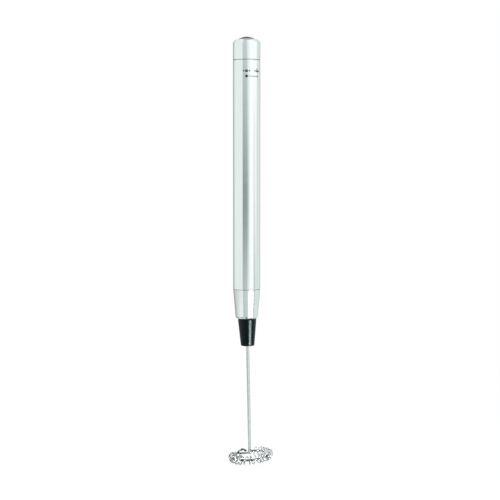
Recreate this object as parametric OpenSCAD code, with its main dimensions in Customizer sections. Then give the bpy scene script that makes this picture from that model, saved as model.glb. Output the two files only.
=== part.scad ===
// Battery-powered milk frother: a slim tube that holds two cells and a small
// motor, a twist-off cap with a push button, and a coil whisk on a thin shaft.
// The motor's spin axis is the Z axis, with the button at the top. The origin
// is at the middle of the barrel. -Y is the side that carries the printed marks.
// The whisk hangs a little out of true from the collet, towards +X.

/* [Barrel] */
// Outside diameter of the barrel, the cap and the top of the nose
body_d = 17; // [16.8:0.1:17.4]
// Wall thickness of the drawn steel parts
wall = 0.6; // [0.5:0.05:0.6]
// Length of the barrel between its two seams
barrel_len = 142; // [141:0.1:144]
// Height of the seam under the cap
seam_h = 0.35; // [0.3:0.05:0.5]
// Height of the seam above the nose
nose_seam_h = 0.2; // [0.15:0.05:0.4]

/* [Cap] */
// Height of the cap above its seam
cap_len = 12.7; // [12.2:0.1:13.2]
// Radius of the cap's rounded shoulder
cap_corner = 2.5; // [1.6:0.1:2.6]
// Angle that the cap turns between its open and closed marks
cap_turn = 50; // [40:1:60]
// Angular width of a bayonet lug
lug_angle = 18; // [12:1:20]

/* [Button] */
// Diameter of the push button
button_d = 9.9; // [9:0.1:10]
// Height of the button's crown above the cap
button_proud = 1.8; // [1.6:0.1:2.6]
// Distance that the button travels
button_travel = 1.2; // [0.8:0.1:1.2]

/* [Nose and drive] */
// Length of the tapered nose
nose_len = 18.5; // [17.5:0.5:19]
// Narrowing of the nose's radius for each unit of its length
nose_taper = 0.088; // [0.06:0.002:0.092]
// Radius of the nose's bottom corner
nose_corner = 1.7; // [1:0.1:1.8]
// Top diameter of the black collet
collet_d1 = 11.6; // [10:0.1:12]
// Bottom diameter of the black collet
collet_d2 = 8.6; // [7:0.1:9]
// Length of the collet
collet_len = 16.9; // [15:0.1:17.5]

/* [Whisk] */
// Diameter of the whisk shaft
shaft_d = 2; // [1.8:0.1:2]
// Diameter of the wire that forms the arm and the ring
ring_wire_d = 1.3; // [1:0.1:1.6]
// Radius of the ring's centre line
ring_r = 11.5; // [11:0.1:13]
// Outside diameter of the coil on the ring
coil_d = 5.7; // [5.2:0.1:6.4]
// Diameter of the coil's wire
coil_wire_d = 0.7; // [0.6:0.05:0.9]
// Number of turns in the coil
coil_turns = 20; // [18:1:24]
// Angle round the ring that the coil covers
coil_sweep = 295; // [270:5:300]
// Direction in which the arm meets the ring, counted from +X
arm_angle = 138; // [120:1:150]
// Lean of the collet and the shaft away from the spin axis
lean = 1.1; // [0:0.1:1.5]
// Distance of the collet's top from the spin axis
off_axis = 0.3; // [0:0.05:0.4]
// Tilt of the ring, its +X side upwards
ring_tilt = 6; // [0:0.5:8]
// Distance of the ring's centre from the foot of the shaft
ring_offset = 0.7; // [0:0.05:1.5]
// Height of the ring's centre below the nose
ring_drop = 87.5; // [80:0.1:95]

/* [Hidden] */
$fn = 64;
eps = 0.01;
edge = 0.12;

body_r = body_d / 2;
inner_r = body_r - wall;

// Stations along the axis, from the top of the barrel down
lower_seam_z = -barrel_len / 2;
barrel_z0 = lower_seam_z + seam_h / 2;
barrel_z1 = lower_seam_z + barrel_len - seam_h / 2;
cap_z0 = barrel_z1 + seam_h;
cap_z1 = lower_seam_z + barrel_len + cap_len;
nose_z1 = barrel_z0 - nose_seam_h;
nose_z0 = lower_seam_z - nose_len;

// Neck of the barrel, inside the cap
neck_r = 7.8;
neck_wall = 0.5;
neck_in = neck_r - neck_wall;
neck_z1 = barrel_z1 + 5.5;
lug_in = neck_in + 0.05;
lug_z0 = barrel_z1 + 1.85;
lug_h = 1.6;
slot_gap = 0.25;
key_angle = 90;
key_half_angle = 6.5;
key_z0 = barrel_z1 + 1.35;

// Switch unit: collar, base and contacts
snap_h = 0.5;
snap_z0 = neck_z1 + 0.2;
flange_z0 = snap_z0 + snap_h + 0.15;
flange_h = 0.95;
collar_z1 = cap_z1 - wall - 0.1;
skirt_r = neck_in - 0.1;
base_z0 = key_z0;
base_h = 1.8;
base_top = base_z0 + base_h;
contact_t = 0.35;
spring_wire_d = 0.5;
spring_r = 5;
button_r = button_d / 2;
button_flange_r = 5.6;
button_flange_h = 0.8;
button_z0 = base_top + contact_t + 0.05 + button_travel + 2.8;
button_edge = 0.4;
bridge_z0 = base_top + contact_t + 0.05 + button_travel;
stem_r = 1.2;
rivet_r = 0.8;
rivet_foot_r = 3.8;
rivet_foot_h = 0.3;

// Cells and what holds them
cell_r = 7.1;
cell_len = 50.5;
cell_nub_r = 2.75;
cell_nub_h = 1;
cell_z0 = lower_seam_z + 35.7;
liner_in = 7.3;
stop_h = 1.6;
plate_t = 0.4;
stop_z0 = cell_z0 - plate_t - stop_h;

// Motor, with two flats
motor_r = 7.75;
motor_flat = 12;
motor_wall = 0.7;
motor_z0 = lower_seam_z + 4.5;
motor_len = 24.2;
bell_h = 2.2;
motor_z1 = motor_z0 + motor_len;
bell_z1 = motor_z1 + bell_h;
boss_r = 3;
boss_h = 1;
magnet_in = 5.4;
magnet_z = [motor_z0 + 2.8, motor_z0 + 18.8];
rotor_r = 5.05;
rotor_z = [motor_z0 + 5.8, motor_z0 + 15.8];
pole_w = 1.6;
pole_in = 1.9;
shoe_in = 4.2;
commutator_r = 1.8;
commutator_z = [motor_z0 + 18.2, motor_z0 + 22];
brush_z0 = motor_z0 + 19.8;
brush_h = 1.5;
brush_t = 0.25;
terminal_x = 5.3;
lead_r = 0.42;
lead_sweep = 150;
lead_z = bell_z1 + 1.75;
screw_x = 4.5;
screw_r = 0.8;
screw_head_r = 1.5;

// Shaft bearings in the nose
shaft_r = shaft_d / 2;
running_gap = 0.04;
bush_r = 3.2;
seal_h = 0.9;
bush_z0 = nose_z0 + 0.1 + seal_h;
bush_h = 4.5;
hub_r = 4.3;
seat_z1 = motor_z0;
seat_disc_z0 = lower_seam_z + 0.9;
spigot_r = inner_r - 0.05;
spigot_z1 = lower_seam_z + 3.2;

// Collet and whisk
collet_z1 = nose_z0 - 0.3;
collet_z0 = collet_z1 - collet_len;
collet_corner = 0.6;
motor_shaft_z0 = collet_z1 - 7.9;
motor_shaft_z1 = bell_z1 + 0.2;
whisk_shaft_z1 = motor_shaft_z0 - 0.5;
coil_r = (coil_d - coil_wire_d) / 2;
ring_z = nose_z0 - ring_drop;
ring_wire_r = ring_wire_d / 2;
arm_rise = 1.9;
shaft_foot_z = ring_z + arm_rise - 0.8;

// Bent wire, in the ring's own plane: the ring is round the origin, and it is met at +X.
// foot is the shaft's foot as seen from there
ring_tip = ring_tilt - lean;
foot_out = ring_offset * cos(ring_tip) - arm_rise * sin(ring_tip);
foot = [
  -foot_out * cos(arm_angle), foot_out * sin(arm_angle),
  ring_offset * sin(ring_tip) + arm_rise * cos(ring_tip)
];
bend_r = 1.1;
bend_at = 6;
bend_centre = (ring_r - bend_r) * [cos(bend_at), sin(bend_at)];
reach = bend_centre - [foot[0], foot[1]];
arm_len = sqrt(reach * reach - bend_r * bend_r);
arm_dir = atan2(reach[1], reach[0]) - asin(bend_r / norm(reach));
bend_turn = 90 + bend_at - arm_dir;
bend_len = bend_r * bend_turn * PI / 180;
hook_d = arm_len - 1.2;
hook_r = 2;
hook_turn = 200;
lift_from = 318;
coil_from = 11;

steel = [0.74, 0.76, 0.76];
bright = [0.82, 0.84, 0.85];
black = [0.06, 0.06, 0.07];
brass = [0.80, 0.64, 0.30];
copper = [0.72, 0.42, 0.24];
ivory = [0.88, 0.86, 0.80];

// ---------------------------------------------------------------- helpers

// Ring between two radii and two heights
module tube(r_out, r_in, z0, z1) {
  translate([0, 0, z0]) difference() {
    cylinder(r = r_out, h = z1 - z0);
    translate([0, 0, -1]) cylinder(r = r_in, h = z1 - z0 + 2);
  }
}

// Rod between two heights
module rod(r, z0, z1) {
  translate([0, 0, z0]) cylinder(r = r, h = z1 - z0);
}

// Part of a ring, from angle a0 round to a1
module sector(r_out, r_in, z0, z1, a0, a1) {
  rotate([0, 0, a0]) rotate_extrude(angle = a1 - a0)
    translate([r_in, z0]) square([r_out - r_in, z1 - z0]);
}

// Half section of a closed cup with a rounded top corner
module cup_section(r, z0, z1, corner) {
  union() {
    translate([0, z0]) square([r - corner, z1 - z0]);
    translate([0, z0]) square([r, z1 - z0 - corner]);
    translate([r - corner, z1 - corner]) circle(r = corner);
  }
}

// Ring that breaks the outer edge at height z, on the side that dir points away from
module broken_edge(z, dir) {
  rotate_extrude() polygon([
    [body_r - edge, z - dir * eps], [body_r + 1, z - dir * eps], [body_r + 1, z + dir * edge],
    [body_r, z + dir * edge], [body_r - edge, z]
  ]);
}

// Half section of the tapered nose, drawn inwards by inset
module nose_section(inset) {
  slope = atan(nose_taper);
  z0 = nose_z0 + inset;
  r_top = body_r - inset / cos(slope);
  corner = nose_corner - inset;
  centre_z = z0 + corner;
  centre_r = r_top - nose_taper * (nose_z1 - centre_z) - corner / cos(slope);
  touch = [centre_r + corner * cos(slope), centre_z - corner * sin(slope)];
  union() {
    polygon([[0, z0], [centre_r, z0], [centre_r, centre_z], touch, [r_top, nose_z1], [0, nose_z1]]);
    translate([centre_r, centre_z]) circle(r = corner);
  }
}

// Flat-sided motor outline, as a solid
module motor_solid(r, flat, z0, z1) {
  intersection() {
    rod(r, z0, z1);
    translate([-r - 1, -flat / 2, z0 - 1]) cube([2 * r + 2, flat, z1 - z0 + 2]);
  }
}

// Unit vector
function unit(v) = v / norm(v);

// Points of a closed tube of radius r round the points p
function tube_points(p, out, r, sides) = [
  for (i = [0 : len(p) - 1])
    let (
      ahead = unit(p[min(i + 1, len(p) - 1)] - p[max(i - 1, 0)]),
      u = unit(out[i] - (out[i] * ahead) * ahead),
      v = cross(ahead, u)
    )
    for (k = [0 : sides - 1]) p[i] + r * (cos(360 * k / sides) * u + sin(360 * k / sides) * v)
];

// Triangles of that tube, with its two flat ends
function tube_faces(n, sides) = concat(
  [for (k = [1 : sides - 2]) [0, k, k + 1]],
  [for (i = [0 : n - 2], k = [0 : sides - 1], half = [0, 1])
    let (a = i * sides + k, b = i * sides + (k + 1) % sides, c = a + sides, d = b + sides)
    half == 0 ? [a, c, b] : [b, c, d]],
  [for (k = [1 : sides - 2]) let (e = (n - 1) * sides) [e, e + k + 1, e + k]]
);

// Wire swept along p, where out[i] points away from the centre of the turns
module swept_wire(p, out, r, sides) {
  polyhedron(points = tube_points(p, out, r, sides), faces = tube_faces(len(p), sides));
}

// Spring about the Z axis whose radius runs from r0 at z0 to r1 at z1
module spring(r0, z0, r1, z1, wire_r, turns, steps) {
  t = [for (i = [0 : turns * steps]) i / (turns * steps)];
  swept_wire(
    [for (s = t) let (a = 360 * turns * s, r = r0 + (r1 - r0) * s)
      [r * cos(a), r * sin(a), z0 + (z1 - z0) * s]],
    [for (s = t) [cos(360 * turns * s), sin(360 * turns * s), 0]], wire_r, 6);
}

// ---------------------------------------------------------------- barrel

// Steel tube, swaged in to a neck that the cap locks on
module barrel_tube() color(steel) difference() {
  rotate_extrude() polygon([
    [inner_r, barrel_z0], [body_r - edge, barrel_z0], [body_r, barrel_z0 + edge],
    [body_r, barrel_z1 - edge], [body_r - edge, barrel_z1], [neck_r, barrel_z1],
    [neck_r, neck_z1], [neck_in, neck_z1], [neck_in, barrel_z1 - wall],
    [inner_r, barrel_z1 - wall]
  ]);
  for (side = [0, 180]) rotate([0, 0, side]) {
    neck_slot(lug_angle / 2, lug_z0 + 0.2);
    sector(neck_r + 0.8, neck_in - 0.8, lug_z0 - slot_gap, lug_z0 + lug_h + slot_gap,
      -cap_turn - lug_angle / 2 - 2, lug_angle / 2);
  }
  rotate([0, 0, key_angle]) neck_slot(key_half_angle, key_z0 - slot_gap);
}

// Straight slot down the neck from its top edge, for a piece of the given half angle
module neck_slot(half_angle, z0) {
  half_w = neck_r * sin(half_angle) + slot_gap;
  translate([neck_in - 1.2, -half_w, z0]) cube([neck_wall + 2.4, 2 * half_w, neck_z1 - z0 + 1]);
}

// Dark ring in the seam under the cap
module cap_gasket() color(black) tube(body_r - 0.3, neck_r, barrel_z1, barrel_z1 + seam_h * 0.6);

// Dark ring in the seam between the barrel and the nose
module nose_gasket() color(black) tube(body_r - 0.3, spigot_r, nose_z1, barrel_z0);

// Insulating tube round the cells
module battery_liner() color(ivory) tube(inner_r - 0.05, liner_in, cell_z0 + plate_t, barrel_z1 - wall - 0.1);

// Round cell with its raised terminal upwards
module cell(z0) {
  rod(cell_r, z0, z0 + cell_len - cell_nub_h);
  rod(cell_nub_r, z0 + cell_len - cell_nub_h - eps, z0 + cell_len);
}
module battery_lower() color([0.20, 0.32, 0.30]) cell(cell_z0);
module battery_upper() color([0.20, 0.32, 0.30]) cell(cell_z0 + cell_len);

// Moulded stop between the cells and the motor
module battery_stop() color(ivory) difference() {
  union() {
    rod(inner_r - 0.1, stop_z0, stop_z0 + stop_h);
    tube(inner_r - 0.1, 6.9, bell_z1 + 0.1, stop_z0 + eps);
  }
  rotate([0, 0, lead_sweep]) translate([terminal_x - 1, -1.2, stop_z0 - 1]) cube([1.6, 2.4, stop_h + 2]);
  rotate([0, 0, lead_sweep + 180]) translate([6, -1.6, bell_z1]) cube([3, 3.2, stop_z0 - bell_z1 + 1.9]);
}

// Brass plate under the lower cell, with a tail to the first lead
module lower_contact() color(brass) union() {
  rod(4, stop_z0 + stop_h, cell_z0);
  rotate([0, 0, lead_sweep]) {
    translate([0, -0.9, stop_z0 + stop_h]) cube([terminal_x + 0.4, 1.8, plate_t]);
    translate([terminal_x, -0.9, lead_z + lead_r]) cube([0.4, 1.8, cell_z0 - lead_z - lead_r]);
  }
}

// Brass tag that joins the second lead to the barrel wall
module earth_tag() color(brass) rotate([0, 0, lead_sweep + 180]) union() {
  translate([terminal_x - 0.6, -1.2, lead_z + lead_r]) cube([inner_r - terminal_x + 0.35, 2.4, 0.3]);
  translate([inner_r - 0.55, -1.2, lead_z + lead_r]) cube([0.3, 2.4, 1.9]);
}

// Two insulated leads, each bent round above the motor
module lead_wires() color([0.55, 0.10, 0.08])
  for (side = [0, 180]) rotate([0, 0, side]) translate([0, 0, lead_z])
    rotate_extrude(angle = lead_sweep) translate([terminal_x, 0]) circle(r = lead_r);

// ---------------------------------------------------------------- motor

module motor_can() color([0.66, 0.67, 0.68]) difference() {
  union() {
    motor_solid(motor_r, motor_flat, motor_z0, motor_z1);
    rod(boss_r, motor_z0 - boss_h, motor_z0 + eps);
  }
  motor_solid(motor_r - motor_wall, motor_flat - 2 * motor_wall, motor_z0 + motor_wall, motor_z1 + 1);
  rod(2.5, motor_z0 - boss_h - 1, motor_z0 + 2);
  for (x = [-screw_x, screw_x]) translate([x, 0, 0]) rod(screw_r, motor_z0 - 2, motor_z0 + 2);
}

module motor_magnets() color([0.25, 0.25, 0.27])
  for (side = [0, 180])
    sector(motor_r - motor_wall, magnet_in, magnet_z[0], magnet_z[1], side - 45, side + 45);

// Plastic end of the motor, with slots for the terminals
module motor_end_bell() color([0.82, 0.80, 0.74]) difference() {
  union() {
    motor_solid(motor_r, motor_flat, motor_z1, bell_z1);
    motor_solid(motor_r - motor_wall, motor_flat - 2 * motor_wall, motor_z1 - 1.6, motor_z1 + eps);
  }
  rod(4.4, motor_z1 - 3, motor_z1 + 0.6);
  rod(2.2, motor_z1 - 1, bell_z1 + 1);
  for (x = [-terminal_x, terminal_x])
    translate([x - 0.2, -0.9, motor_z1 - 3]) cube([0.4, 1.8, bell_h + 4]);
}

// Solder tabs that stand through the end bell
module motor_terminals() color(brass) for (x = [-terminal_x, terminal_x])
  translate([x - 0.2, -0.9, motor_z1 - 1.6]) cube([0.4, 1.8, lead_z - lead_r - motor_z1 + 1.6]);

// Spring strips that press on the commutator
module motor_brushes() color(copper) for (side = [0, 180]) rotate([0, 0, side]) union() {
  translate([commutator_r + 0.05, -3, brush_z0]) cube([brush_t, 5, brush_h]);
  translate([commutator_r + 0.05, 1.8, brush_z0]) cube([brush_t, 1.6, motor_z1 - brush_z0 + 0.6]);
}

module motor_rear_bush() color(brass) tube(2.2, shaft_r + running_gap, motor_z1 + 0.3, bell_z1);
module motor_front_bush() color(brass) tube(2.5, shaft_r + running_gap, motor_z0 - boss_h, motor_z0 + 2);

// ---------------------------------------------------------------- nose

// Tapered steel nose with a spigot that presses into the barrel
module nose_cone() color(steel) difference() {
  union() {
    rotate_extrude() nose_section(0);
    rod(spigot_r, nose_z1 - 1, spigot_z1);
  }
  rotate_extrude() nose_section(wall + 0.1);
  rod(spigot_r - wall, nose_z1 - 1.5, spigot_z1 + 1);
  rod(bush_r, nose_z0 - 1, nose_z0 + 2);
  broken_edge(nose_z1, -1);
}

// Moulded seat for the motor, with a hub that holds the bush
module motor_seat() color(ivory) difference() {
  union() {
    rod(spigot_r - wall - 0.05, seat_disc_z0, seat_z1);
    rod(inner_r - 0.1, spigot_z1 + 0.05, seat_z1);
    rod(hub_r, nose_z0 + wall + 0.15, seat_disc_z0 + eps);
    intersection() {
      rotate_extrude() nose_section(wall + 0.15);
      for (a = [90, 210, 330]) rotate([0, 0, a])
        translate([0, -0.6, nose_z0]) cube([body_r, 1.2, seat_disc_z0 - nose_z0]);
    }
  }
  rod(bush_r, nose_z0 - 1, bush_z0 + bush_h);
  rod(shaft_r + 1, nose_z0, seat_z1 + 1);
  rod(boss_r + 0.05, seat_z1 - boss_h - 0.05, seat_z1 + 1);
  for (x = [-screw_x, screw_x]) translate([x, 0, 0]) {
    rod(screw_r, nose_z0, seat_z1 + 1);
    rod(screw_head_r + 0.1, nose_z0, seat_disc_z0 + 1);
  }
}

// Two screws that hold the motor on its seat
module motor_screws() color(bright) for (x = [-screw_x, screw_x]) translate([x, 0, 0]) difference() {
  union() {
    rod(screw_head_r, seat_disc_z0, seat_disc_z0 + 1);
    rod(screw_r, seat_disc_z0 + 1 - eps, motor_z0 + motor_wall);
  }
  for (a = [0, 90]) rotate([0, 0, a])
    translate([-1.1, -0.2, seat_disc_z0 - 1]) cube([2.2, 0.4, 1.5]);
}

module nose_bush() color(brass) tube(bush_r, shaft_r + running_gap, bush_z0, bush_z0 + bush_h);

// Rubber ring that keeps milk out of the nose
module shaft_seal() color(black) tube(bush_r, shaft_r + 0.02, nose_z0 + 0.1, bush_z0);

// ---------------------------------------------------------------- rotor and whisk

// Leans its children from the top of the collet, a little off the spin axis
module hung() {
  translate([off_axis, 0, collet_z1]) rotate([0, -lean, 0]) translate([0, 0, -collet_z1]) children();
}

// Puts a ring that is drawn flat round the origin in its place below the shaft
module on_ring() {
  hung() translate([ring_offset, 0, ring_z]) rotate([0, lean - ring_tilt, 0])
    rotate([0, 0, arm_angle]) children();
}

module motor_shaft() color(bright) rod(shaft_r, motor_shaft_z0, motor_shaft_z1);

// Three-pole laminated core
module armature_core() color([0.45, 0.46, 0.48]) difference() {
  union() {
    rod(pole_in + 0.4, rotor_z[0], rotor_z[1]);
    for (a = [0, 120, 240]) {
      rotate([0, 0, a]) translate([0, -pole_w / 2, rotor_z[0]])
        cube([shoe_in + 0.3, pole_w, rotor_z[1] - rotor_z[0]]);
      sector(rotor_r, shoe_in, rotor_z[0], rotor_z[1], a - 48, a + 48);
    }
  }
  rod(shaft_r, rotor_z[0] - 1, rotor_z[1] + 1);
}

// One copper coil round each pole
module armature_windings() color(copper) for (a = [0, 120, 240]) rotate([0, 0, a]) difference() {
  intersection() {
    translate([pole_in + 0.45, -2, rotor_z[0] - 1.4])
      cube([shoe_in - pole_in - 0.5, 4, rotor_z[1] - rotor_z[0] + 2.8]);
    rod(shoe_in - 0.05, rotor_z[0] - 2, rotor_z[1] + 2);
  }
  translate([0, -pole_w / 2, rotor_z[0]]) cube([rotor_r, pole_w, rotor_z[1] - rotor_z[0]]);
}

// Commutator on its sleeve, with three grooves between the segments
module commutator() color(copper) difference() {
  rod(commutator_r, commutator_z[0], commutator_z[1]);
  rod(shaft_r, commutator_z[0] - 1, commutator_z[1] + 1);
  for (a = [60, 180, 300]) rotate([0, 0, a])
    translate([commutator_r - 0.4, -0.12, commutator_z[0] - 1]) cube([1, 0.24, 6]);
}

// Black tapered chuck. Its upper bore takes the motor shaft, and the leaning one the whisk
module drive_collet() color(black) difference() {
  hung() rotate_extrude() union() {
    polygon([
      [0, collet_z0], [collet_d2 / 2 - collet_corner, collet_z0],
      [collet_d2 / 2 - collet_corner, collet_z0 + collet_corner],
      [collet_d2 / 2, collet_z0 + collet_corner],
      [collet_d1 / 2, collet_z1 - 0.3], [collet_d1 / 2 - 0.3, collet_z1], [0, collet_z1]
    ]);
    translate([collet_d2 / 2 - collet_corner, collet_z0 + collet_corner]) circle(r = collet_corner);
  }
  rod(shaft_r, motor_shaft_z0, collet_z1 + 1);
  hung() rod(shaft_r, collet_z0 - 1, whisk_shaft_z1);
}

// Straight rod, with its foot's edge broken, that the arm is welded to
module whisk_shaft() color(bright) hung() rotate_extrude() polygon([
  [0, shaft_foot_z], [shaft_r - 0.4, shaft_foot_z], [shaft_r, shaft_foot_z + 0.4],
  [shaft_r, whisk_shaft_z1], [0, whisk_shaft_z1]
]);

// Point of the sloping arm at distance d from the shaft
function arm_point(d) =
  foot + [d * cos(arm_dir), d * sin(arm_dir), -foot[2] * d / (arm_len + bend_len)];

// Stretches of the bent wire, as rows of [point, sideways direction]
function arm_way() = [for (d = [shaft_r - 0.2, arm_len / 2])
  [arm_point(d), [sin(arm_dir), -cos(arm_dir), 0]]];
function bend_way(steps) = [for (i = [0 : steps]) let (a = arm_dir - 90 + bend_turn * i / steps)
  [[bend_centre[0] + bend_r * cos(a), bend_centre[1] + bend_r * sin(a),
    arm_point(arm_len + bend_len * i / steps)[2]], [cos(a), sin(a), 0]]];
function ring_way(steps) = [for (i = [1 : steps]) let (a = bend_at + (lift_from - bend_at) * i / steps)
  [ring_r * [cos(a), sin(a), 0], [cos(a), sin(a), 0]]];
function lift_way(steps) = let (top = arm_point(hook_d) + [0, 0, hook_r])
  [for (i = [1 : steps - 1]) let (
      s = (1 - cos(180 * i / steps)) / 2,
      up = (1 - cos(180 * min(1, 1.5 * i / steps))) / 2,
      a = lift_from + (360 - lift_from) * i / steps,
      r = ring_r + (norm([top[0], top[1]]) - ring_r) * s
    ) [[r * cos(a), r * sin(a), top[2] * up], [cos(a), sin(a), 0]]];
function hook_way(steps) = [for (i = [0 : steps]) let (a = hook_turn * i / steps)
  [arm_point(hook_d) + hook_r * [-sin(a) * sin(arm_dir), sin(a) * cos(arm_dir), cos(a)],
    [cos(arm_dir), sin(arm_dir), 0]]];

// One bent wire: the arm, the ring, and an end that hooks over the arm
module whisk_ring() color(bright) on_ring() {
  way = concat(arm_way(), bend_way(6), ring_way(80), lift_way(9), hook_way(12));
  swept_wire([for (w = way) w[0]], [for (w = way) w[1]], ring_wire_r, 10);
}

// Fine wire wound round the ring. Each end closes down on the ring's wire
module whisk_coil() color(bright) on_ring() {
  steps = 14;
  hold_r = ring_wire_r + coil_wire_d / 2 + 0.02;
  close_in = 0.4;
  t = [for (i = [0 : coil_turns * steps]) i / steps];
  turn_r = [for (s = t) let (near = min(1, min(s, coil_turns - s) / close_in))
    hold_r + (coil_r - hold_r) * (1 - cos(180 * near)) / 2];
  out = [for (s = t) let (a = coil_from + coil_sweep * s / coil_turns, b = 360 * s)
    [cos(b) * cos(a), cos(b) * sin(a), sin(b)]];
  p = [for (i = [0 : len(t) - 1]) let (a = coil_from + coil_sweep * t[i] / coil_turns)
    [ring_r * cos(a), ring_r * sin(a), 0] + turn_r[i] * out[i]];
  swept_wire(p, out, coil_wire_d / 2, 6);
}

// ---------------------------------------------------------------- cap and switch

module cap_shell() color(steel) difference() {
  rotate_extrude() difference() {
    cup_section(body_r, cap_z0, cap_z1, cap_corner);
    cup_section(body_r - wall + 0.05, cap_z0 - 1, cap_z1 - wall, cap_corner - wall + 0.05);
  }
  rod(button_r + 0.35, cap_z0, cap_z1 + 1);
  broken_edge(cap_z0, 1);
}

// Two pads inside the cap that ride in the slots of the neck
module bayonet_lugs() color(bright) for (side = [0, 180])
  sector(body_r - wall + 0.05, lug_in, lug_z0, lug_z0 + lug_h, side - lug_angle / 2, side + lug_angle / 2);

// Open snap ring under the switch collar's flange
module retaining_ring() color(bright)
  sector(body_r - wall + 0.05, neck_in + 0.1, snap_z0, snap_z0 + snap_h, -75, 255);

// Moulded guide for the button. Its lip stops the button, and its flange turns in the cap
module switch_collar() color(black) difference() {
  rotate_extrude() polygon([
    [button_flange_r + 0.15, flange_z0], [6.25, flange_z0], [6.25, base_top + 0.6],
    [skirt_r, base_top + 0.6], [skirt_r, flange_z0], [body_r - wall - 0.1, flange_z0],
    [body_r - wall - 0.1, flange_z0 + flange_h], [6.2, flange_z0 + flange_h],
    [6.2, collar_z1], [button_r + 0.2, collar_z1],
    [button_r + 0.2, button_z0 + button_flange_h + 0.1],
    [button_flange_r + 0.15, button_z0 + button_flange_h + 0.1]
  ]);
}

// Moulded floor of the switch, with a key that stops it turning in the neck
module switch_base() color(ivory) difference() {
  union() {
    rod(skirt_r, base_z0, base_top);
    tube(6.2, 5.45, base_top - eps, flange_z0 - 0.35);
    sector(neck_r - 0.1, skirt_r - 0.5, base_z0, base_top,
      key_angle - key_half_angle, key_angle + key_half_angle);
  }
  rod(rivet_r, base_z0 - 1, base_top + 1);
  translate([-1, -skirt_r, base_top]) cube([2, skirt_r, contact_t + 0.1]);
}

// Black button: domed crown, skirt with a stop flange, and a centre stem
module push_button() color(black) rotate_extrude() union() {
  crown_z = cap_z1 + button_edge;
  rise = button_proud - button_edge;
  dome_r = (button_r * button_r + rise * rise) / (2 * rise);
  difference() {
    union() {
      translate([0, button_z0]) square([button_flange_r, button_flange_h]);
      translate([0, button_z0]) square([button_r, crown_z - button_z0]);
      intersection() {
        translate([0, crown_z + rise - dome_r]) circle(r = dome_r, $fn = 128);
        translate([0, crown_z - eps]) square([button_r, rise + 1]);
      }
    }
    translate([stem_r, button_z0 - 1]) square([button_r - 0.75 - stem_r, 5]);
  }
  translate([0, bridge_z0]) square([stem_r, button_z0 - bridge_z0 + 1]);
}

// Moving washer that joins the rivet to the ring contact when the button is down
module bridge_contact() color(brass) tube(4.3, stem_r, bridge_z0, bridge_z0 + 0.3);

module button_spring() color(bright)
  spring(spring_r, base_top + spring_wire_d / 2 + 0.02, spring_r,
    button_z0 - spring_wire_d / 2 - 0.02, spring_wire_d / 2, 3, 20);

// Rivet through the switch base, with a foot that carries the battery spring
module centre_contact() color(brass) union() {
  rod(1.7, base_top, base_top + contact_t);
  rod(rivet_r, base_z0 - eps, base_top + eps);
  rod(rivet_foot_r, base_z0 - rivet_foot_h, base_z0);
}

// Brass ring with a tab that reaches the neck, the switch's second pole
module ring_contact() color(brass) union() {
  tube(4.4, 2.6, base_top, base_top + contact_t);
  translate([-0.9, -neck_in + 0.06, base_top]) cube([1.8, neck_in - 4.2, contact_t]);
}

// Conical spring that presses on the upper cell
module battery_spring() color(bright)
  spring(2.1, cell_z0 + 2 * cell_len + 0.36, 3.4, base_z0 - rivet_foot_h - 0.32, 0.3, 4, 18);

// ---------------------------------------------------------------- output

barrel_tube();
cap_shell();
push_button();
cap_gasket();
nose_cone();
nose_gasket();
drive_collet();
whisk_shaft();
whisk_ring();
whisk_coil();
bayonet_lugs();
retaining_ring();
switch_collar();
switch_base();
button_spring();
bridge_contact();
centre_contact();
ring_contact();
battery_spring();
battery_upper();
battery_lower();
battery_liner();
lower_contact();
battery_stop();
earth_tag();
lead_wires();
motor_terminals();
motor_end_bell();
motor_brushes();
motor_can();
motor_magnets();
motor_rear_bush();
motor_front_bush();
armature_core();
armature_windings();
commutator();
motor_shaft();
motor_screws();
motor_seat();
nose_bush();
shaft_seal();
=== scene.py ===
"""Looks of a battery-powered milk frother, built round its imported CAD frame.

All lengths are in metres, in the frame of the CAD model: +Z runs up the
motor's spin axis, the origin is at the middle of the barrel, and -Y is the
side that carries the printed open and closed marks.
"""

import math

import bpy
from mathutils import Matrix, Vector


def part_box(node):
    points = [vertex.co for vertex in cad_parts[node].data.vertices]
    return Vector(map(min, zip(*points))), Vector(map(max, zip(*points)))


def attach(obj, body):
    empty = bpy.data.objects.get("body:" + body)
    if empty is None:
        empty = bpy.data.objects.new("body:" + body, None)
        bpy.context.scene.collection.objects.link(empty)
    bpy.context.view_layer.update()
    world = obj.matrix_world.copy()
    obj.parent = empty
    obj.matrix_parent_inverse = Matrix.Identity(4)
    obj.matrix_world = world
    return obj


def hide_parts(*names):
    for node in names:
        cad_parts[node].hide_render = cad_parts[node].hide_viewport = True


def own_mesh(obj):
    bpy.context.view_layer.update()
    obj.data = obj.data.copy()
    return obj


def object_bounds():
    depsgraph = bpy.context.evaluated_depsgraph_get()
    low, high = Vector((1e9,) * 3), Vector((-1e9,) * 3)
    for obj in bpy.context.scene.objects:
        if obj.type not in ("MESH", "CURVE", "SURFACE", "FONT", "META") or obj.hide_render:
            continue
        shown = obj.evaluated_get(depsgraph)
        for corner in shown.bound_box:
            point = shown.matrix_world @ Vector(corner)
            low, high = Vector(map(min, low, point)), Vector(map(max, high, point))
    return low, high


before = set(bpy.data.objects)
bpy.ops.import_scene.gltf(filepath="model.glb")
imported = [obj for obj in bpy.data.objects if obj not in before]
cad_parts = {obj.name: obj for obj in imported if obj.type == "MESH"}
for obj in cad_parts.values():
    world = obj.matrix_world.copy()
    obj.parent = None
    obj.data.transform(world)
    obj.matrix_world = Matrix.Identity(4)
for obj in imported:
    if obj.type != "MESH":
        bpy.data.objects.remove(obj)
cad_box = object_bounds()

MM = 0.001
FLOOR_GAP = 0.2 * MM

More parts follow.
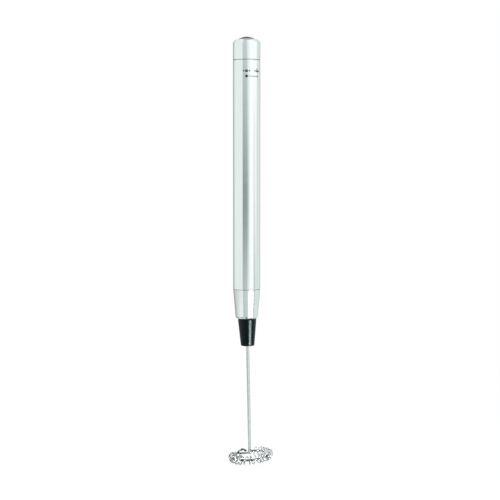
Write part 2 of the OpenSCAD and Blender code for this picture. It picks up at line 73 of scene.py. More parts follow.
# Places taken from the CAD boxes
shaft_lo, shaft_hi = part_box("whisk_shaft")
spring_lo, spring_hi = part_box("button_spring")
BARREL_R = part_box("barrel_tube")[1].x
CAP_SEAM_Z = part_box("cap_gasket")[0].z
NOSE_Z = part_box("nose_cone")[0].z
FLOOR_Z = cad_box[0][2] - FLOOR_GAP


# ------------------------------------------------------------ camera and light

# A long lens looks slightly down at the middle of the frother
CAMERA_PLACE = (2.1 * MM, -705.1 * MM, 2.8 * MM)
CAMERA_PITCH = math.radians(4.0)
CAMERA_SENSOR = 36.0
CAMERA_LENS = 81.36
CAMERA_CLIP_START = 0.01


def add_camera():
    data = bpy.data.cameras.new("camera")
    data.sensor_width = CAMERA_SENSOR
    data.lens = CAMERA_LENS
    data.clip_start = CAMERA_CLIP_START
    camera = bpy.data.objects.new("camera", data)
    camera.location = CAMERA_PLACE
    camera.rotation_euler = (math.pi / 2 - CAMERA_PITCH, 0.0, 0.0)
    bpy.context.collection.objects.link(camera)
    bpy.context.scene.camera = camera


# Brightness on the right of the tent: high up, level with the object, low down, and near the foot
RIGHT_HIGH = ((59, 1.09), (91, 1.09), (103, 0.83), (118, 0.79))
RIGHT_LEVEL = ((59, 0.92), (71, 0.92), (80, 1.06), (91, 0.97), (103, 0.75), (118, 0.87))
RIGHT_LOW = ((59, 0.92), (69, 0.58), (80, 0.80), (91, 0.86), (103, 0.80), (118, 0.83))
RIGHT_FOOT = ((66, 1.0), (74, 0.56), (84, 0.80), (95, 0.86), (104, 0.80), (118, 0.83))


def tent_row(opening, right, back=0.42, left=1.0, panel=1.09, rear=0.55, turn=0):
    """Brightness of the light tent by bearing, in degrees to the right of the front. opening is the
    level of the darker gap in front, panel is that of the soft box beside it, rear is that of the
    corners at the back, and turn moves the near edge of the soft box to the right."""
    return (
        (-180, back), (-158, 0.5 * (back + rear)), (-140, rear * left), (-110, 0.93 * left),
        (-50, 0.93 * left), (-37, 0.95 * left), (-30, 0.93 * opening), (-20, opening),
        (0, 1.05 * opening), (9 + turn, 1.35 * opening), (16 + turn, 0.35 + opening),
        (24 + turn, 0.85 * panel), (29 + turn, panel), (right[0][0] - 4, panel), *right,
        (140, 0.79), (160, rear), (180, back),
    )


# Light and dark panels under the object, which give the thin wires their contrast
FLOOR_PANELS = (
    (-180, 0.10), (-150, 0.10), (-135, 0.95), (-80, 0.95), (-68, 0.08), (-52, 0.08), (-44, 0.95),
    (-26, 0.95), (-16, 0.08), (16, 0.08), (26, 1.10), (58, 1.10), (66, 0.08), (96, 0.08),
    (106, 0.90), (142, 0.90), (154, 0.10), (180, 0.10),
)

# The tent's rows by elevation, from below the object to overhead
TENT_ROWS = (
    (-48, FLOOR_PANELS),
    (-38, tent_row(0.84, RIGHT_FOOT, 0.15, 1.15, turn=6)),
    (-31, tent_row(0.25, RIGHT_FOOT, 0.10, 0.45, 0.85)),
    (-19.5, tent_row(0.25, RIGHT_FOOT, 0.10, 0.45, 0.85)),
    (-17.8, tent_row(0.74, RIGHT_FOOT, 0.20, 1.17, rear=0.50, turn=20)),
    (-15.4, tent_row(0.70, RIGHT_FOOT, 0.20, 1.17, rear=0.50, turn=20)),
    (-14.2, tent_row(0.66, RIGHT_LOW, 0.30, 0.74, 1.15)),
    (-9.3, tent_row(0.66, RIGHT_LOW, 0.30, 0.76, 1.15)),
    (-8, tent_row(0.66, RIGHT_LOW)),
    (-5.5, tent_row(0.60, RIGHT_LOW)),
    (-1.3, tent_row(0.20, RIGHT_LEVEL)),
    (0.4, tent_row(0.44, RIGHT_LEVEL)),
    (2.6, tent_row(0.51, RIGHT_LEVEL)),
    (3.4, tent_row(0.54, RIGHT_HIGH)),
    (8, tent_row(0.75, RIGHT_HIGH, 0.5)),
    (25, tent_row(0.68, RIGHT_HIGH, 0.7, rear=0.85)),
    (50, tent_row(0.62, RIGHT_HIGH, 0.8, rear=0.9)),
    (66, tent_row(0.76, RIGHT_HIGH, 0.9, rear=0.9)),
    (82, ((-180, 0.42), (180, 0.42))),
)
TENT_MAX = 1.5
TENT_RED_LOSS = 0.28
TENT_BLUE_LOSS = 0.06

# A narrow lamp low on the right, which the black collet shows as its highlight
LAMP_BEARING = 42
LAMP_HALF_WIDTH = 26
LAMP_LEVEL = 150
LAMP_TOP = -18
LAMP_BOTTOM = -22.5
LAMP_FULL_PART = 0.7


def tent_color(level):
    """Darker parts of the tent are slightly green."""
    depth = 1 - min(level, 1)
    red, blue = 1 - TENT_RED_LOSS * depth, 1 - TENT_BLUE_LOSS * depth
    return (level * red / TENT_MAX, level / TENT_MAX, level * blue / TENT_MAX, 1.0)


class Graph:
    """Short calls that add nodes to a node tree."""

    def __init__(self, tree):
        self.nodes, self.links = tree.nodes, tree.links

    def add(self, kind, **settings):
        node = self.nodes.new(kind)
        for name, value in settings.items():
            setattr(node, name, value)
        return node

    def join(self, value, socket):
        """Link an output to the socket, or set the socket to a plain value."""
        if isinstance(value, bpy.types.NodeSocket):
            self.links.new(value, socket)
        else:
            socket.default_value = value

    def math(self, operation, *values):
        node = self.add("ShaderNodeMath", operation=operation)
        for value, socket in zip(values, node.inputs):
            self.join(value, socket)
        return node.outputs[0]

    def remap(self, value, low, high, to_low=0.0, to_high=1.0, kind="LINEAR"):
        node = self.add("ShaderNodeMapRange", interpolation_type=kind)
        for value, name in ((value, "Value"), (low, "From Min"), (high, "From Max"),
                            (to_low, "To Min"), (to_high, "To Max")):
            self.join(value, node.inputs[name])
        return node.outputs[0]

    def mix(self, factor, a, b, blend="MIX"):
        node = self.add("ShaderNodeMix", data_type="RGBA", blend_type=blend)
        for value, name in ((factor, "Factor"), (a, "A"), (b, "B")):
            self.join(value, node.inputs[name])
        return node.outputs["Result"]


def row_ramp(graph, turn, row):
    """Colour of one row of the tent. turn is the bearing from 0 to 1."""
    ramp = graph.add("ShaderNodeValToRGB")
    stops = ramp.color_ramp.elements
    while len(stops) > 1:
        stops.remove(stops[-1])
    for i, (degrees, level) in enumerate(row):
        place = degrees / 360 + 0.5
        stop = stops[0] if i == 0 else stops.new(place)
        stop.position = place
        stop.color = tent_color(level)
    graph.join(turn, ramp.inputs[0])
    return ramp.outputs["Color"]


def add_light():
    """A white light tent: plain white behind the object, and soft panels in reflections."""
    world = bpy.data.worlds.new("light_tent")
    bpy.context.scene.world = world
    world.use_nodes = True
    world.node_tree.nodes.clear()
    graph = Graph(world.node_tree)

    parts = graph.add("ShaderNodeSeparateXYZ")
    graph.join(graph.add("ShaderNodeTexCoord").outputs["Generated"], parts.inputs[0])
    forward = graph.math("MULTIPLY", parts.outputs["Y"], -1.0)
    radians = graph.math("ARCTAN2", parts.outputs["X"], forward)
    turn = graph.math("MULTIPLY_ADD", radians, 0.5 / math.pi, 0.5)
    bearing = graph.math("MULTIPLY", radians, 180 / math.pi)
    elevation = graph.math("MULTIPLY", graph.math("ARCSINE", parts.outputs["Z"]), 180 / math.pi)

    tent = row_ramp(graph, turn, TENT_ROWS[0][1])
    for (low, _), (high, row) in zip(TENT_ROWS, TENT_ROWS[1:]):
        tent = graph.mix(graph.remap(elevation, low, high), tent, row_ramp(graph, turn, row))

    aside = graph.math("ABSOLUTE", graph.math("SUBTRACT", bearing, LAMP_BEARING))
    lamp = graph.remap(aside, LAMP_HALF_WIDTH, 0.0, 0.0, LAMP_LEVEL, "SMOOTHSTEP")
    middle = (LAMP_TOP + LAMP_BOTTOM) / 2
    half_height = LAMP_TOP - middle
    beside = graph.math("ABSOLUTE", graph.math("SUBTRACT", elevation, middle))
    edge = graph.remap(beside, half_height, LAMP_FULL_PART * half_height)
    lamp = graph.math("MULTIPLY", lamp, edge)

    lit = graph.add("ShaderNodeBackground")
    graph.join(tent, lit.inputs["Color"])
    graph.join(TENT_MAX, lit.inputs["Strength"])
    lamp_light = graph.add("ShaderNodeBackground")
    graph.join(lamp, lamp_light.inputs["Strength"])
    both = graph.add("ShaderNodeAddShader")
    graph.join(lit.outputs[0], both.inputs[0])
    graph.join(lamp_light.outputs[0], both.inputs[1])
    seen = graph.add("ShaderNodeBackground")
    seen.inputs["Color"].default_value = (1.0, 1.0, 1.0, 1.0)
    choice = graph.add("ShaderNodeMixShader")
    graph.join(graph.add("ShaderNodeLightPath").outputs["Is Camera Ray"], choice.inputs[0])
    graph.join(both.outputs[0], choice.inputs[1])
    graph.join(seen.outputs[0], choice.inputs[2])
    graph.join(choice.outputs[0], graph.add("ShaderNodeOutputWorld").inputs["Surface"])
    bpy.context.scene.view_settings.view_transform = "Standard"


FLOOR_RADIUS = 0.6
FLOOR_STEPS = 96
FLOOR_WHITE = 0.35
FLOOR_GLOW = 0.76
FLOOR_FADE_FROM = 0.2 * FLOOR_RADIUS
FLOOR_FADE_TO = 0.8 * FLOOR_RADIUS


def add_floor():
    """A round white floor just under the whisk, which fades in to the white behind it."""
    turns = [2 * math.pi * i / FLOOR_STEPS for i in range(FLOOR_STEPS)]
    rim = [(FLOOR_RADIUS * math.cos(a), FLOOR_RADIUS * math.sin(a), FLOOR_Z) for a in turns]
    mesh = bpy.data.meshes.new("floor")
    mesh.from_pydata(rim, [], [tuple(range(FLOOR_STEPS))])
    floor = bpy.data.objects.new("floor", mesh)
    bpy.context.collection.objects.link(floor)
    # The tent's panels reach down behind the floor in reflections
    floor.visible_glossy = False

    material = bpy.data.materials.new("floor_white")
    material.use_nodes = True
    material.node_tree.nodes.clear()
    graph = Graph(material.node_tree)
    length = graph.add("ShaderNodeVectorMath", operation="LENGTH")
    graph.join(graph.add("ShaderNodeTexCoord").outputs["Object"], length.inputs[0])
    fade = graph.remap(length.outputs["Value"], FLOOR_FADE_FROM, FLOOR_FADE_TO, kind="SMOOTHSTEP")
    matt = graph.add("ShaderNodeBsdfDiffuse")
    matt.inputs["Color"].default_value = (FLOOR_WHITE, FLOOR_WHITE, FLOOR_WHITE, 1.0)
    glow = graph.add("ShaderNodeEmission")
    graph.join(FLOOR_GLOW, glow.inputs["Strength"])
    near = graph.add("ShaderNodeAddShader")
    graph.join(matt.outputs[0], near.inputs[0])
    graph.join(glow.outputs[0], near.inputs[1])
    far = graph.add("ShaderNodeEmission")
    surface = graph.add("ShaderNodeMixShader")
    graph.join(fade, surface.inputs[0])
    graph.join(near.outputs[0], surface.inputs[1])
    graph.join(far.outputs[0], surface.inputs[2])
    graph.join(surface.outputs[0], graph.add("ShaderNodeOutputMaterial").inputs["Surface"])
    mesh.materials.append(material)


# ------------------------------------------------------------ materials


# The range that most of a noise texture's values lie in
NOISE_LOW, NOISE_HIGH = 0.3, 0.7


class Shader(Graph):
    """A node material with one Principled shader, and short calls that add its textures."""

    def __init__(self, name, color, metallic=0.0, roughness=0.4, **sockets):
        self.material = bpy.data.materials.new(name)
        self.material.use_nodes = True
        super().__init__(self.material.node_tree)
        self.bsdf = self.nodes["Principled BSDF"]
        self.color = (*color, 1.0)
        self.bsdf.inputs["Base Color"].default_value = self.color
        self.bsdf.inputs["Metallic"].default_value = metallic
        self.bsdf.inputs["Roughness"].default_value = roughness
        for socket, value in sockets.items():
            self.bsdf.inputs[socket.replace("_", " ")].default_value = value
        self.place = self.add("ShaderNodeTexCoord").outputs["Object"]

    def noise(self, scale, stretch=(1.0, 1.0, 1.0), detail=4.0):
        """Noise of the given scale per metre, stretched along each axis."""
        mapping = self.add("ShaderNodeMapping")
        self.join(stretch, mapping.inputs["Scale"])
        self.join(self.place, mapping.inputs["Vector"])
        noise = self.add("ShaderNodeTexNoise")
        self.join(scale, noise.inputs["Scale"])
        self.join(detail, noise.inputs["Detail"])
        self.join(mapping.outputs[0], noise.inputs["Vector"])
        return noise.outputs["Fac"]

    def spread(self, value, low, high):
        """The middle of the noise's range as a number from low to high."""
        return self.remap(value, NOISE_LOW, NOISE_HIGH, low, high)

    def roughness(self, value, low, high):
        self.join(self.spread(value, low, high), self.bsdf.inputs["Roughness"])

    def tint(self, value, other):
        """Mix the base colour with another one by the value."""
        self.join(self.mix(value, self.color, (*other, 1.0)), self.bsdf.inputs["Base Color"])

    def bump(self, value, depth, strength=1.0):
        bump = self.add("ShaderNodeBump")
        self.join(depth, bump.inputs["Distance"])
        self.join(strength, bump.inputs["Strength"])
        self.join(value, bump.inputs["Height"])
        self.join(bump.outputs[0], self.bsdf.inputs["Normal"])

    def height_mask(self, low, high):
        """1 where the point is between two heights, else 0."""
        parts = self.add("ShaderNodeSeparateXYZ")
        self.join(self.place, parts.inputs[0])
        over = self.math("GREATER_THAN", parts.outputs["Z"], low)
        under = self.math("LESS_THAN", parts.outputs["Z"], high)
        return self.math("MULTIPLY", over, under)


def brushed_shell():
    """Steel turned round its axis: fine rings, which draw reflections out along the tube."""
    s = Shader("brushed_shell", (0.87, 0.915, 0.912), 1.0, 0.16, Anisotropic=0.6, Anisotropic_Rotation=0.25)
    tangent = s.add("ShaderNodeTangent", direction_type="RADIAL", axis="Z")
    s.join(tangent.outputs[0], s.bsdf.inputs["Tangent"])
    rings = s.noise(900.0, (0.05, 0.05, 12.0), 3.0)
    s.roughness(rings, 0.08, 0.14)
    s.bump(rings, 0.003 * MM, 0.3)
    s.tint(s.spread(s.noise(140.0, (0.4, 0.4, 2.0)), 0.0, 0.35), (0.83, 0.885, 0.88))
    return s.material


def gloss_button():
    s = Shader("gloss_button", (0.010, 0.012, 0.013), 0.0, 0.08, Specular_IOR_Level=0.35)
    s.roughness(s.noise(700.0), 0.08, 0.16)
    s.bump(s.noise(260.0), 0.01 * MM, 0.2)
    return s.material


def satin_black(name, color, low, high, specular=0.5, sheen=(1.0, 1.0, 1.0, 1.0)):
    s = Shader(name, color, 0.0, 0.4, Specular_IOR_Level=specular, Specular_Tint=sheen)
    grain = s.noise(5200.0, detail=6.0)
    s.roughness(grain, low, high)
    s.bump(grain, 0.008 * MM, 0.5)
    return s.material


def dark_rubber():
    s = Shader("dark_rubber", (0.016, 0.018, 0.018), 0.0, 0.75, Specular_IOR_Level=0.12)
    s.bump(s.noise(3500.0), 0.01 * MM, 0.4)
    return s.material


# Noise levels over which a wire's colour turns to its painted shade colour
SHADE_PATCH_FROM, SHADE_PATCH_TO = 0.44, 0.58


def polished_wire(name, color, painted_shade_color, shade_lean=0.0):
    """Bright drawn wire with darker patches of the second colour, which are painted shade. The last
    argument puts more of them towards -X, as painted shade on that side.
    """
    s = Shader(name, color, 1.0, 0.08)
    parts = s.add("ShaderNodeSeparateXYZ")
    s.join(s.place, parts.inputs[0])
    # Painted shade: noise, shifted towards -X by the last argument, picks the patches that take the darker
    # colour
    painted_shade_patches = s.math("MULTIPLY_ADD", parts.outputs["X"], -shade_lean, s.noise(620.0, detail=2.0))
    s.tint(s.remap(painted_shade_patches, SHADE_PATCH_FROM, SHADE_PATCH_TO), painted_shade_color)
    s.roughness(s.noise(900.0, (1.0, 1.0, 0.2)), 0.05, 0.12)
    s.bump(s.noise(1600.0, (1.0, 1.0, 0.2)), 0.003 * MM, 0.3)
    return s.material


def plain_steel(name, color, low, high):
    s = Shader(name, color, 1.0, 0.3)
    s.roughness(s.noise(1200.0), low, high)
    s.bump(s.noise(2600.0, (1.0, 1.0, 0.3)), 0.004 * MM, 0.4)
    return s.material


def moulding(name, color, other):
    s = Shader(name, color, 0.0, 0.45, Subsurface_Weight=0.05, Subsurface_Radius=(MM, MM, MM))
    s.tint(s.spread(s.noise(300.0), 0.0, 0.5), other)
    s.roughness(s.noise(2500.0), 0.38, 0.52)
    s.bump(s.noise(4200.0), 0.006 * MM, 0.4)
    return s.material


def metal(name, color, other, low, high):
    s = Shader(name, color, 1.0, 0.3)
    s.tint(s.spread(s.noise(500.0), 0.0, 1.0), other)
    s.roughness(s.noise(1500.0), low, high)
    s.bump(s.noise(3000.0), 0.004 * MM, 0.4)
    return s.material


# How far the copper-coloured band and the bare terminal reach down from a cell's top
BAND_H = 13 * MM
RIM_H = 1.2 * MM


def cell_jacket(node):
    """Dark green film with a copper-coloured band at its top, and bare metal at the terminal."""
    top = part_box(node)[1].z
    s = Shader("jacket_" + node, (0.014, 0.075, 0.055), 0.0, 0.28, Coat_Weight=0.4)
    band = s.height_mask(top - BAND_H, top + MM)
    nub = s.height_mask(top - RIM_H, top + MM)
    film = s.mix(band, s.color, (0.62, 0.33, 0.14, 1.0))
    s.join(s.mix(nub, film, (0.75, 0.75, 0.73, 1.0)), s.bsdf.inputs["Base Color"])
    s.join(band, s.bsdf.inputs["Metallic"])
    s.bump(s.noise(900.0), 0.01 * MM, 0.3)
    return s.material


def ripples(s, scale, depth, strength):
    """Fine ripples along the axis."""
    wave = s.add("ShaderNodeTexWave", bands_direction="Z")
    s.join(scale, wave.inputs["Scale"])
    s.join(s.place, wave.inputs["Vector"])
    s.bump(wave.outputs["Fac"], depth, strength)


def laminations():
    """Stacked sheets."""
    s = Shader("laminations", (0.30, 0.31, 0.33), 1.0, 0.4)
    ripples(s, 600.0, 0.03 * MM, 0.8)
    s.roughness(s.noise(1500.0), 0.32, 0.5)
    return s.material


def wound_copper():
    """Enamelled wire laid in rows."""
    s = Shader("wound_copper", (0.62, 0.24, 0.09), 1.0, 0.3)
    ripples(s, 900.0, 0.06 * MM, 0.9)
    s.tint(s.spread(s.noise(900.0), 0.0, 1.0), (0.48, 0.16, 0.06))
    return s.material


def mark_ink():
    s = Shader("mark_ink", (0.006, 0.008, 0.008), 0.0, 0.6, Specular_IOR_Level=0.2)
    s.tint(s.spread(s.noise(5000.0), 0.0, 0.6), (0.016, 0.019, 0.019))
    return s.material


def dress_cad():
    """Give every CAD node its finish."""
    by_node = {}

    def give(material, *names):
        for name in names:
            by_node[name] = material

    give(brushed_shell(), "barrel_tube", "cap_shell", "nose_cone")
    give(gloss_button(), "push_button")
    give(dark_rubber(), "cap_gasket", "nose_gasket", "shaft_seal")
    give(satin_black("satin_collet", (0.001, 0.003, 0.004), 0.14, 0.24, 0.2, (0.75, 1.0, 1.0, 1.0)),
         "drive_collet")
    give(satin_black("switch_black", (0.03, 0.03, 0.032), 0.4, 0.55), "switch_collar")
    # The three wires are one polished steel, and their darker patches are painted shade. The ring's darker
    # base colour and near-black patches are painted shade where the coil covers it, and the spiral's
    # patches are painted shade that leans towards -X.
    give(polished_wire("polished_rod_painted_shade", (0.74, 0.78, 0.775), (0.66, 0.71, 0.705)), "whisk_shaft")
    give(polished_wire("polished_spiral_painted_shade", (0.90, 0.94, 0.935), (0.26, 0.29, 0.29), 6.0), "whisk_coil")
    give(polished_wire("polished_ring_painted_shade", (0.50, 0.53, 0.525), (0.02, 0.024, 0.024)), "whisk_ring")
    give(plain_steel("bright_steel", (0.70, 0.71, 0.72), 0.18, 0.32), "bayonet_lugs", "retaining_ring",
         "motor_shaft", "motor_screws", "battery_spring", "button_spring")
    give(plain_steel("motor_plate", (0.58, 0.59, 0.60), 0.25, 0.4), "motor_can")
    give(moulding("ivory_moulding", (0.72, 0.68, 0.57), (0.66, 0.62, 0.51)),
         "switch_base", "battery_liner", "battery_stop", "motor_seat")
    give(moulding("bell_moulding", (0.62, 0.60, 0.53), (0.56, 0.54, 0.47)), "motor_end_bell")
    give(moulding("lead_insulation", (0.36, 0.02, 0.016), (0.30, 0.016, 0.012)), "lead_wires")
    give(metal("brass", (0.76, 0.56, 0.24), (0.70, 0.50, 0.20), 0.16, 0.3), "bridge_contact",
         "centre_contact", "ring_contact", "lower_contact", "earth_tag", "motor_terminals")
    give(metal("bronze", (0.52, 0.33, 0.16), (0.44, 0.27, 0.13), 0.35, 0.5),
         "motor_rear_bush", "motor_front_bush", "nose_bush")
    give(metal("copper", (0.70, 0.32, 0.16), (0.60, 0.26, 0.12), 0.2, 0.35), "commutator", "motor_brushes")
    give(satin_black("ferrite", (0.045, 0.045, 0.05), 0.5, 0.7), "motor_magnets")
    give(wound_copper(), "armature_windings")
    give(laminations(), "armature_core")
    for cell in ("battery_upper", "battery_lower"):
        give(cell_jacket(cell), cell)
    for name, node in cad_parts.items():
        for slot in node.material_slots:
            slot.material = by_node[name]
        if not node.material_slots:
            node.data.materials.append(by_node[name])
    return by_node


# ------------------------------------------------------------ swept wire


def swept_wire(name, way, radius, sides):
    """A smooth closed tube. way is a list of (point, sideways direction), and radius is one number
    or a list with one for each point."""
    points = [Vector(point) for point, _ in way]
    last = len(points) - 1
    verts, faces = [], []
    for i, (point, (_, side)) in enumerate(zip(points, way)):
        ahead = (points[min(i + 1, last)] - points[max(i - 1, 0)]).normalized()
        u = (Vector(side) - ahead * ahead.dot(Vector(side))).normalized()
        v = ahead.cross(u)
        r = radius[i] if isinstance(radius, list) else radius
        for k in range(sides):
            a = 2 * math.pi * k / sides
            verts.append(point + (u * math.cos(a) + v * math.sin(a)) * r)
    for i in range(last):
        for k in range(sides):
            a, b = i * sides + k, i * sides + (k + 1) % sides
            faces.append((a, b, b + sides, a + sides))
    faces.append(tuple(reversed(range(sides))))
    faces.append(tuple(range(last * sides, (last + 1) * sides)))
    return smooth_piece(name, verts, faces, len(faces) - 2)


def smooth_piece(name, verts, faces, smooth_count):
    """An object whose first smooth_count faces are smooth, with sharp edges round the others."""
    mesh = bpy.data.meshes.new(name)
    mesh.from_pydata([tuple(p) for p in verts], [], faces)
    flat_corners = set()
    for polygon in mesh.polygons:
        polygon.use_smooth = polygon.index < smooth_count
        if not polygon.use_smooth:
            flat_corners.update(polygon.edge_keys)
    for edge in mesh.edges:
        edge.use_edge_sharp = edge.key in flat_corners
    piece = bpy.data.objects.new(name, mesh)
    bpy.context.collection.objects.link(piece)
    return piece


def flat_turn(angle):
    """Level unit vector at that angle from +X."""
    return Vector((math.cos(angle), math.sin(angle), 0.0))


# ------------------------------------------------------------ whisk

# The whisk hangs from the top of the collet, a little out of true
LEAN = math.radians(1.1)
COLLET_TOP = NOSE_Z - 0.3 * MM
OFF_AXIS = 0.3 * MM
RING_TILT = math.radians(6)
RING_OFFSET = 0.7 * MM
RING_Z = NOSE_Z - 87.5 * MM
ARM_ANGLE = math.radians(138)
ARM_RISE = 1.9 * MM

# The rod's rounded foot, and the bead where the arm is welded to it
FOOT_DROP = 0.9 * MM
FOOT_ROUND_R = 0.5 * MM
BEAD_HALF = 1.2 * MM
BEAD_RISE = 0.14 * MM
FOOT_STEPS = 6
BEAD_STEPS = 10
ROD_STEPS = 12
ROD_SIDES = 28

# The ring's wire, from the rod's foot along the arm, round the ring and over the arm as a hook.
# Before the hook it lifts, and has risen once it is 1 / LIFT_HASTE of the way round to the arm.
RING_R = 11.5 * MM
RING_WIRE_R = 0.65 * MM
RING_SIDES = 16
ARM_PARTS = (0.0, 0.1, 0.4, 0.7, 0.9)
BEND_R = 1.1 * MM
BEND_AT = math.radians(6)
LIFT_FROM = math.radians(318)
LIFT_HASTE = 1.5
HOOK_R = 2 * MM
HOOK_BACK = 1.2 * MM
HOOK_TURN = math.radians(200)
BEND_STEPS = 12
RING_STEPS = 160
LIFT_STEPS = 18
HOOK_STEPS = 20

# The coil. Its turns crowd along the ring and are dented, each at its own rate in radians per turn
COIL_WIRE_R = 0.35 * MM
COIL_SIDES = 10
COIL_R = 2.5 * MM
COIL_TURNS = 20
COIL_FROM = math.radians(11)
COIL_SWEEP = math.radians(295)
COIL_STEPS = 28
COIL_CROWD = math.radians(2.2)
COIL_CROWD_RATE = 2.7
COIL_DENT = 0.045
COIL_DENT_RATE = 1.9
COIL_DENT_START = 1
COIL_CLOSE = 0.4

hang = (Matrix.Translation((OFF_AXIS, 0, COLLET_TOP)) @ Matrix.Rotation(-LEAN, 4, "Y")
        @ Matrix.Translation((0, 0, -COLLET_TOP)))
on_ring = (hang @ Matrix.Translation((RING_OFFSET, 0, RING_Z))
           @ Matrix.Rotation(LEAN - RING_TILT, 4, "Y") @ Matrix.Rotation(ARM_ANGLE, 4, "Z"))


def ease(t):
    """From 0 to 1 with a level start and end."""
    return (1 - math.cos(math.pi * t)) / 2


def ring_way():
    """The bent wire in the ring's own plane, met at +X: arm, bend, ring, and a hook over the arm."""
    foot = on_ring.inverted() @ hang @ Vector((0, 0, RING_Z + ARM_RISE))
    centre = (RING_R - BEND_R) * flat_turn(BEND_AT)
    reach = (centre - foot).to_2d()
    arm_len = math.sqrt(reach.length_squared - BEND_R ** 2)
    arm_dir = math.atan2(reach.y, reach.x) - math.asin(BEND_R / reach.length)
    bend_turn = math.pi / 2 + BEND_AT - arm_dir
    fall = foot.z / (arm_len + BEND_R * bend_turn)
    along, beside = flat_turn(arm_dir), flat_turn(arm_dir + math.pi / 2)
    up = Vector((0, 0, 1))

    def arm_point(d):
        return foot + along * d - up * fall * d

    way = [(arm_point(arm_len * t), -beside) for t in ARM_PARTS]
    for i in range(BEND_STEPS + 1):
        side = flat_turn(arm_dir - math.pi / 2 + bend_turn * i / BEND_STEPS)
        z = arm_point(arm_len + BEND_R * bend_turn * i / BEND_STEPS).z
        way.append((centre + BEND_R * side + up * z, side))
    for i in range(1, RING_STEPS + 1):
        side = flat_turn(BEND_AT + (LIFT_FROM - BEND_AT) * i / RING_STEPS)
        way.append((RING_R * side, side))
    hook = arm_point(arm_len - HOOK_BACK)
    top = hook + HOOK_R * up
    for i in range(1, LIFT_STEPS):
        t = ease(i / LIFT_STEPS)
        rise = top.z * ease(min(1.0, LIFT_HASTE * i / LIFT_STEPS))
        side = flat_turn(LIFT_FROM + (2 * math.pi - LIFT_FROM) * i / LIFT_STEPS)
        way.append((side * (RING_R + (top.to_2d().length - RING_R) * t) + up * rise, side))
    for i in range(HOOK_STEPS + 1):
        a = HOOK_TURN * i / HOOK_STEPS
        way.append((hook + HOOK_R * (beside * math.sin(a) + up * math.cos(a)), along))
    return way


def coil_way():
    """Helix round the ring, bent a little as if by use. Each end closes down on the ring's wire."""
    way = []
    count = COIL_TURNS * COIL_STEPS
    hold_r = RING_WIRE_R + COIL_WIRE_R
    for i in range(count + 1):
        turns = i / COIL_STEPS
        near = ease(min(1.0, min(turns, COIL_TURNS - turns) / COIL_CLOSE))
        shift = COIL_CROWD * near * math.sin(COIL_CROWD_RATE * turns)
        side = flat_turn(COIL_FROM + COIL_SWEEP * i / count + shift)
        open_r = COIL_R * (1 - COIL_DENT * (1 + math.sin(COIL_DENT_RATE * turns + COIL_DENT_START)))
        roll = 2 * math.pi * turns
        away = side * math.cos(roll) + Vector((0, 0, math.sin(roll)))
        way.append((side * RING_R + away * (hold_r + (open_r - hold_r) * near), away))
    return way


def shaft_way():
    """The straight rod's way and radii: a rounded foot, a slight weld bead, and the plain rod."""
    rod_r = (shaft_hi.y - shaft_lo.y) / 2
    bead_z = RING_Z + ARM_RISE
    foot_z = bead_z - FOOT_DROP
    heights, radii = [], []
    for i in range(FOOT_STEPS + 1):
        a = math.pi / 2 * i / FOOT_STEPS
        heights.append(foot_z + FOOT_ROUND_R * (1 - math.cos(a)))
        radii.append(rod_r - FOOT_ROUND_R * (1 - math.sin(a)))
    for i in range(1, BEAD_STEPS + 1):
        z = foot_z + FOOT_ROUND_R + (bead_z + BEAD_HALF - foot_z - FOOT_ROUND_R) * i / BEAD_STEPS
        heights.append(z)
        radii.append(rod_r + BEAD_RISE * ease(max(0.0, 1 - abs(z - bead_z) / BEAD_HALF)))
    start = heights[-1]
    for i in range(1, ROD_STEPS + 1):
        heights.append(start + (shaft_hi.z - start) * i / ROD_STEPS)
        radii.append(rod_r)
    return [(Vector((0, 0, z)), Vector((1, 0, 0))) for z in heights], radii


def build_whisk(finish):
    way, radii = shaft_way()
    rod = swept_wire("whisk_rod", way, radii, ROD_SIDES)
    rod.data.transform(hang)
    ring = swept_wire("whisk_wire", ring_way(), RING_WIRE_R, RING_SIDES)
    coil = swept_wire("whisk_spiral", coil_way(), COIL_WIRE_R, COIL_SIDES)
    for piece in (ring, coil):
        piece.data.transform(on_ring)
    for piece, node in ((rod, "whisk_shaft"), (ring, "whisk_ring"), (coil, "whisk_coil")):
        piece.data.materials.append(finish[node])
        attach(piece, "spindle")
        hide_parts(node)


# ------------------------------------------------------------ button spring

SPRING_TURNS = 3
SPRING_STEPS = 32
SPRING_SIDES = 10
SPRING_WIRE_R = 0.25 * MM


def build_button_spring(material):
    """Return spring of the button, built as one fixed coil. The real one squashes as the button goes down.
    """
    coil_r = spring_hi.x - SPRING_WIRE_R
    low, high = spring_lo.z + SPRING_WIRE_R, spring_hi.z - SPRING_WIRE_R
    way = []
    count = SPRING_TURNS * SPRING_STEPS
    for i in range(count + 1):
        side = flat_turn(2 * math.pi * i / SPRING_STEPS)
        z = low + (high - low) * i / count
        way.append((side * coil_r + Vector((0, 0, z)), side))
    spring = swept_wire("return_spring", way, SPRING_WIRE_R, SPRING_SIDES)
    spring.data.materials.append(material)
    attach(spring, "switch_unit")
    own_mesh(spring)
    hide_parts("button_spring")


# ------------------------------------------------------------ printed marks

INK_PROUD = 0.02 * MM
INK_SKIRT = 0.06 * MM
MARK_Z = CAP_SEAM_Z - 10.1 * MM
MARK_TURN = math.radians(50)
FRONT = math.radians(-90)
BIG_DOT_R = 0.88 * MM
SMALL_DOT_R = 0.5 * MM
BIG_DOT_CLEAR = 1.2 * MM
SMALL_DOT_CLEAR = 0.9 * MM
LINE_HALF = 0.17 * MM
LINE_STEPS = 12

# Icons over the dots. ICON_RISE is from the line up to a padlock's middle, where its heights start
ICON_RISE = 3.45 * MM
LOCK_HALF_WIDTH = 0.85 * MM
LOCK_BOTTOM = 0.95 * MM
LOCK_TOP = 0.15 * MM
LOCK_STEPS = 4
SHACKLE_INNER = 0.38 * MM
SHACKLE_OUTER = 0.66 * MM
SHACKLE_FOOT = 0.3 * MM
SHACKLE_LIFT = 0.35 * MM
ARROW_AT = 1.45 * MM
ARROW_DROP = 0.2 * MM
ARROW_LENGTH = 1.15 * MM
ARROW_HALF = 0.6 * MM


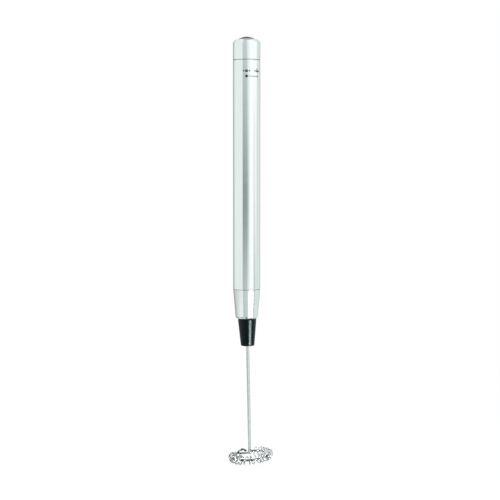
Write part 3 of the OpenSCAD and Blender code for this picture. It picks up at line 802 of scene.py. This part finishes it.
class Artwork:
    """Flat shapes wrapped on the barrel. x runs round it from the front, and z up from the marks' line."""

    def __init__(self):
        self.verts, self.faces = [], []

    def patch(self, outline):
        """A printed shape as a closed solid: a top face, a back face inside the wall, and thin sides."""
        start, n = len(self.verts), len(outline)
        for lift in (INK_PROUD, -INK_SKIRT):
            for x, z in outline:
                side = flat_turn(FRONT + x / BARREL_R)
                self.verts.append(side * (BARREL_R + lift) + Vector((0, 0, MARK_Z + z)))
        self.faces.append(tuple(range(start, start + n)))
        self.faces.append(tuple(reversed(range(start + n, start + 2 * n))))
        for k in range(n):
            a, b = start + k, start + (k + 1) % n
            self.faces.append((a, a + n, b + n, b))

    def disc(self, x, z, r, steps=24):
        self.patch([(x + r * math.cos(2 * math.pi * k / steps), z + r * math.sin(2 * math.pi * k / steps))
                    for k in range(steps)])

    def bar(self, x0, x1, z0, z1, steps=1):
        for i in range(steps):
            a, b = x0 + (x1 - x0) * i / steps, x0 + (x1 - x0) * (i + 1) / steps
            self.patch([(a, z0), (b, z0), (b, z1), (a, z1)])

    def arch(self, x, z, inner, outer, steps=10):
        """Half ring, standing on z."""
        for i in range(steps):
            a, b = math.pi * i / steps, math.pi * (i + 1) / steps
            self.patch([(x + r * math.cos(t), z + r * math.sin(t))
                        for r, t in ((inner, a), (outer, a), (outer, b), (inner, b))])

    def padlock(self, x, z, lift):
        """Padlock whose shackle is raised by lift. A raised shackle has one free leg."""
        self.bar(x - LOCK_HALF_WIDTH, x + LOCK_HALF_WIDTH, z - LOCK_BOTTOM, z + LOCK_TOP, LOCK_STEPS)
        foot = z + SHACKLE_FOOT + lift
        self.arch(x, foot, SHACKLE_INNER, SHACKLE_OUTER)
        self.bar(x - SHACKLE_OUTER, x - SHACKLE_INNER, z, foot)
        if lift == 0:
            self.bar(x + SHACKLE_INNER, x + SHACKLE_OUTER, z, foot)

    def arrow(self, x, z, point):
        """Small triangle. point is its length, which is negative when it points left."""
        corners = [(x, z - ARROW_HALF), (x + point, z), (x, z + ARROW_HALF)]
        self.patch(corners if point > 0 else corners[::-1])


def build_marks(material):
    """Generic open and closed marks: a large dot, a line and a small dot, with a padlock over each dot."""
    art = Artwork()
    span = MARK_TURN * BARREL_R
    art.disc(0.0, 0.0, BIG_DOT_R)
    art.disc(span, 0.0, SMALL_DOT_R)
    art.bar(BIG_DOT_CLEAR, span - SMALL_DOT_CLEAR, -LINE_HALF, LINE_HALF, LINE_STEPS)
    for x, lift in ((0.0, 0.0), (span, SHACKLE_LIFT)):
        art.padlock(x, ICON_RISE, lift)
        art.arrow(x + ARROW_AT, ICON_RISE - ARROW_DROP, ARROW_LENGTH)
        art.arrow(x - ARROW_AT, ICON_RISE - ARROW_DROP, -ARROW_LENGTH)
    marks = smooth_piece("printed_marks", art.verts, art.faces, 0)
    marks.data.materials.append(material)
    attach(marks, "barrel")


# ------------------------------------------------------------ build

add_camera()
add_light()
add_floor()
finishes = dress_cad()
build_whisk(finishes)
build_button_spring(finishes["button_spring"])
build_marks(mark_ink())
